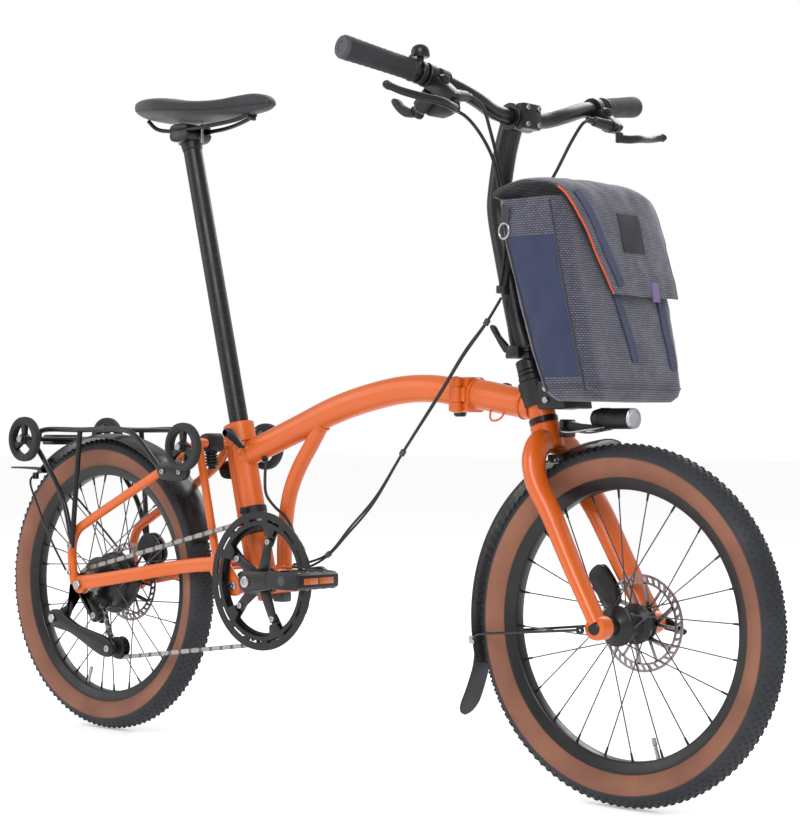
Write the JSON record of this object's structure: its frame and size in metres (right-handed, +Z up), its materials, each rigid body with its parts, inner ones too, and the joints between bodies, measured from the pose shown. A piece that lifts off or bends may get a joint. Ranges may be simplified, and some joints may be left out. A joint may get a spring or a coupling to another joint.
{
  "type": "folding bicycle",
  "caption": "Folding bicycle with small wheels, a curved single-tube frame, disc brakes, a sprung rear triangle, a tall folding handlepost, a rear rack on small rollers and a front bag.",
  "frame": {"origin": "on the ground, under the middle of the bounding box (11 mm behind mid-wheelbase, on the wheels' middle plane)", "axes": "+X forward to the front wheel, +Y to the rider's left, +Z up; the drive side is -Y"},
  "size_m": [1.654, 0.6954, 1.097],
  "materials": {
    "orange": "satin paint",
    "black": "satin black",
    "plastic": "fine-grained plastic",
    "steel": "brushed",
    "tyre": "tread with tan sidewalls",
    "rubber": "ribbed",
    "fabric": "woven",
    "leather": "soft cover",
    "glass": "clear",
    "alloy": "black anodised"
  },
  "bodies": {
    "frame": {"main_frame": "orange", "bottom_bracket": "alloy", "frame_cable": "plastic", "long_cables": "plastic"},
    "seat_clamp_lever": {"seat_lever": "black"},
    "front_frame": {"front_frame": "orange", "carrier_block": "plastic"},
    "hinge_clamp": {"hinge_clamp": "black"},
    "bag": {"bag_body": "fabric"},
    "bag_flap": {"bag_flap": "fabric"},
    "fork": {"fork": "orange", "front_mudguard": "plastic", "front_lamp": "plastic", "front_lens": "glass", "front_caliper": "black", "stem_base": "alloy"},
    "front_axle_lever": {"axle_lever": "black"},
    "post_lever": {"post_lever": "black"},
    "front_wheel": {"front_tyre": "tyre", "front_rim": "alloy", "front_spokes": "steel", "front_hub": "alloy", "front_rotor": "steel"},
    "handlepost": {"handlepost": "alloy", "handlebar": "alloy", "grip_left": "rubber", "grip_right": "rubber", "brake_body_left": "black", "brake_body_right": "black", "bell": "plastic", "bar_cables": "plastic"},
    "brake_lever_left": {"brake_lever_left": "steel"},
    "brake_lever_right": {"brake_lever_right": "steel"},
    "shift_lever": {"shift_lever": "plastic"},
    "bell_striker": {"bell_striker": "plastic"},
    "seatpost": {"seatpost": "alloy", "saddle_clamp": "steel", "saddle": "leather"},
    "rear_frame": {"rear_frame": "orange", "suspension_block": "plastic", "rear_mudguard": "plastic", "rack": "alloy", "rear_caliper": "black", "chain_guide": "plastic", "chain": "steel"},
    "rear_wheel": {"rear_tyre": "tyre", "rear_rim": "alloy", "rear_spokes": "steel", "rear_hub": "alloy"},
    "sprocket": {"sprocket": "steel"},
    "tensioner": {"tensioner_arm": "plastic"},
    "tensioner_roller": {"tensioner_roller": "plastic"},
    "rack_roller_rear_left": {"rack_roller_rear_left": "rubber"},
    "rack_roller_rear_right": {"rack_roller_rear_right": "rubber"},
    "rack_roller_front_left": {"rack_roller_front_left": "rubber"},
    "rack_roller_front_right": {"rack_roller_front_right": "rubber"},
    "crank": {"crankset": "alloy", "chainring": "alloy"},
    "pedal_right": {"pedal_right": "plastic"},
    "pedal_left": {"pedal_left": "plastic"}
  },
  "joints": [
    {"name": "main_hinge", "type": "hinge", "parent": "frame", "child": "front_frame", "pos_m": [0.2775, -0.027, 0.584], "axis": [0, 0, -1], "range_deg": [0, 125], "deforming": ["long_cables"]},
    {"name": "hinge_clamp_turn", "type": "hinge", "parent": "front_frame", "child": "hinge_clamp", "pos_m": [0.2775, 0.028, 0.584], "axis": [0, 1, 0], "range_deg": [-110, 0]},
    {"name": "seat_clamp_turn", "type": "hinge", "parent": "frame", "child": "seat_clamp_lever", "pos_m": [-0.215, -0.03, 0.524], "axis": [0, -1, 0], "range_deg": [0, 140]},
    {"name": "seatpost_slide", "type": "slide", "parent": "frame", "child": "seatpost", "axis": [0.2476, 0, -0.9689], "range_m": [0, 0.25]},
    {"name": "rear_frame_fold", "type": "hinge", "parent": "frame", "child": "rear_frame", "pos_m": [-0.189, 0, 0.273], "axis": [0, 1, 0], "range_deg": [-120, 0], "deforming": ["chain"]},
    {"name": "steering", "type": "hinge", "parent": "front_frame", "child": "fork", "pos_m": [0.424, 0, 0.537], "axis": [0.3007, 0, -0.9537], "range_deg": [-45, 45]},
    {"name": "bag_lift", "type": "slide", "parent": "front_frame", "child": "bag", "axis": [-0.3007, 0, 0.9537], "range_m": [0, 0.04]},
    {"name": "bag_flap_open", "type": "hinge", "parent": "bag", "child": "bag_flap", "pos_m": [0.409, 0, 0.862], "axis": [0, -1, 0], "range_deg": [0, 60]},
    {"name": "handlepost_fold", "type": "hinge", "parent": "fork", "child": "handlepost", "pos_m": [0.39, 0.028, 0.6452], "axis": [-1, 0, 0], "range_deg": [0, 135], "deforming": ["bar_cables"]},
    {"name": "post_clamp_turn", "type": "hinge", "parent": "fork", "child": "post_lever", "pos_m": [0.389, -0.03, 0.646], "axis": [0, -1, 0], "range_deg": [0, 90]},
    {"name": "front_axle_lever_turn", "type": "hinge", "parent": "fork", "child": "front_axle_lever", "pos_m": [0.57, 0, 0.257], "axis": [0, -1, 0], "range_deg": [0, 120]},
    {"name": "front_wheel_spin", "type": "hinge", "parent": "fork", "child": "front_wheel", "pos_m": [0.57, 0, 0.257], "axis": [0, 1, 0], "continuous": true},
    {"name": "rear_wheel_spin", "type": "hinge", "parent": "rear_frame", "child": "rear_wheel", "pos_m": [-0.548, 0, 0.257], "axis": [0, 1, 0], "continuous": true},
    {"name": "crank_spin", "type": "hinge", "parent": "frame", "child": "crank", "pos_m": [-0.111, 0, 0.286], "axis": [0, 1, 0], "continuous": true},
    {"name": "sprocket_spin", "type": "hinge", "parent": "rear_frame", "child": "sprocket", "pos_m": [-0.548, 0, 0.257], "axis": [0, 1, 0], "continuous": true},
    {"name": "pedal_right_spin", "type": "hinge", "parent": "crank", "child": "pedal_right", "pos_m": [0.06084, 0, 0.30103], "axis": [0, 1, 0], "continuous": true},
    {"name": "pedal_left_spin", "type": "hinge", "parent": "crank", "child": "pedal_left", "pos_m": [-0.28284, 0, 0.27097], "axis": [0, 1, 0], "continuous": true},
    {"name": "tensioner_swing", "type": "hinge", "parent": "rear_frame", "child": "tensioner", "pos_m": [-0.615, 0, 0.195], "axis": [0, 1, 0], "range_deg": [0, 25], "stiffness_Nm_per_rad": 2, "springref_deg": -5.73},
    {"name": "tensioner_roller_spin", "type": "hinge", "parent": "tensioner", "child": "tensioner_roller", "pos_m": [-0.466, 0, 0.152], "axis": [0, 1, 0], "continuous": true},
    {"name": "rack_roller_rear_left_spin", "type": "hinge", "parent": "rear_frame", "child": "rack_roller_rear_left", "pos_m": [-0.673, 0.095, 0.511], "axis": [0, 1, 0], "continuous": true},
    {"name": "rack_roller_rear_right_spin", "type": "hinge", "parent": "rear_frame", "child": "rack_roller_rear_right", "pos_m": [-0.673, -0.095, 0.511], "axis": [0, 1, 0], "continuous": true},
    {"name": "rack_roller_front_left_spin", "type": "hinge", "parent": "rear_frame", "child": "rack_roller_front_left", "pos_m": [-0.254, 0.095, 0.501], "axis": [0, 1, 0], "continuous": true},
    {"name": "rack_roller_front_right_spin", "type": "hinge", "parent": "rear_frame", "child": "rack_roller_front_right", "pos_m": [-0.254, -0.095, 0.501], "axis": [0, 1, 0], "continuous": true},
    {"name": "brake_lever_left_pull", "type": "hinge", "parent": "handlepost", "child": "brake_lever_left", "pos_m": [0.415, 0.194, 0.981], "axis": [0, 0, 1], "range_deg": [0, 20], "stiffness_Nm_per_rad": 1},
    {"name": "brake_lever_right_pull", "type": "hinge", "parent": "handlepost", "child": "brake_lever_right", "pos_m": [0.415, -0.194, 0.981], "axis": [0, 0, -1], "range_deg": [0, 20], "stiffness_Nm_per_rad": 1},
    {"name": "shift_lever_push", "type": "hinge", "parent": "handlepost", "child": "shift_lever", "pos_m": [0.336, -0.186, 0.9815], "axis": [-0.7372, 0, -0.6757], "range_deg": [0, 20], "stiffness_Nm_per_rad": 0.5},
    {"name": "bell_striker_flick", "type": "hinge", "parent": "handlepost", "child": "bell_striker", "pos_m": [0.348, -0.209, 1.052], "axis": [0, 1, 0], "range_deg": [-12, 0], "stiffness_Nm_per_rad": 0.05}
  ],
  "couplings": [
    {"joint": "sprocket_spin", "follows": "crank_spin", "ratio": 3.8462}
  ]
}
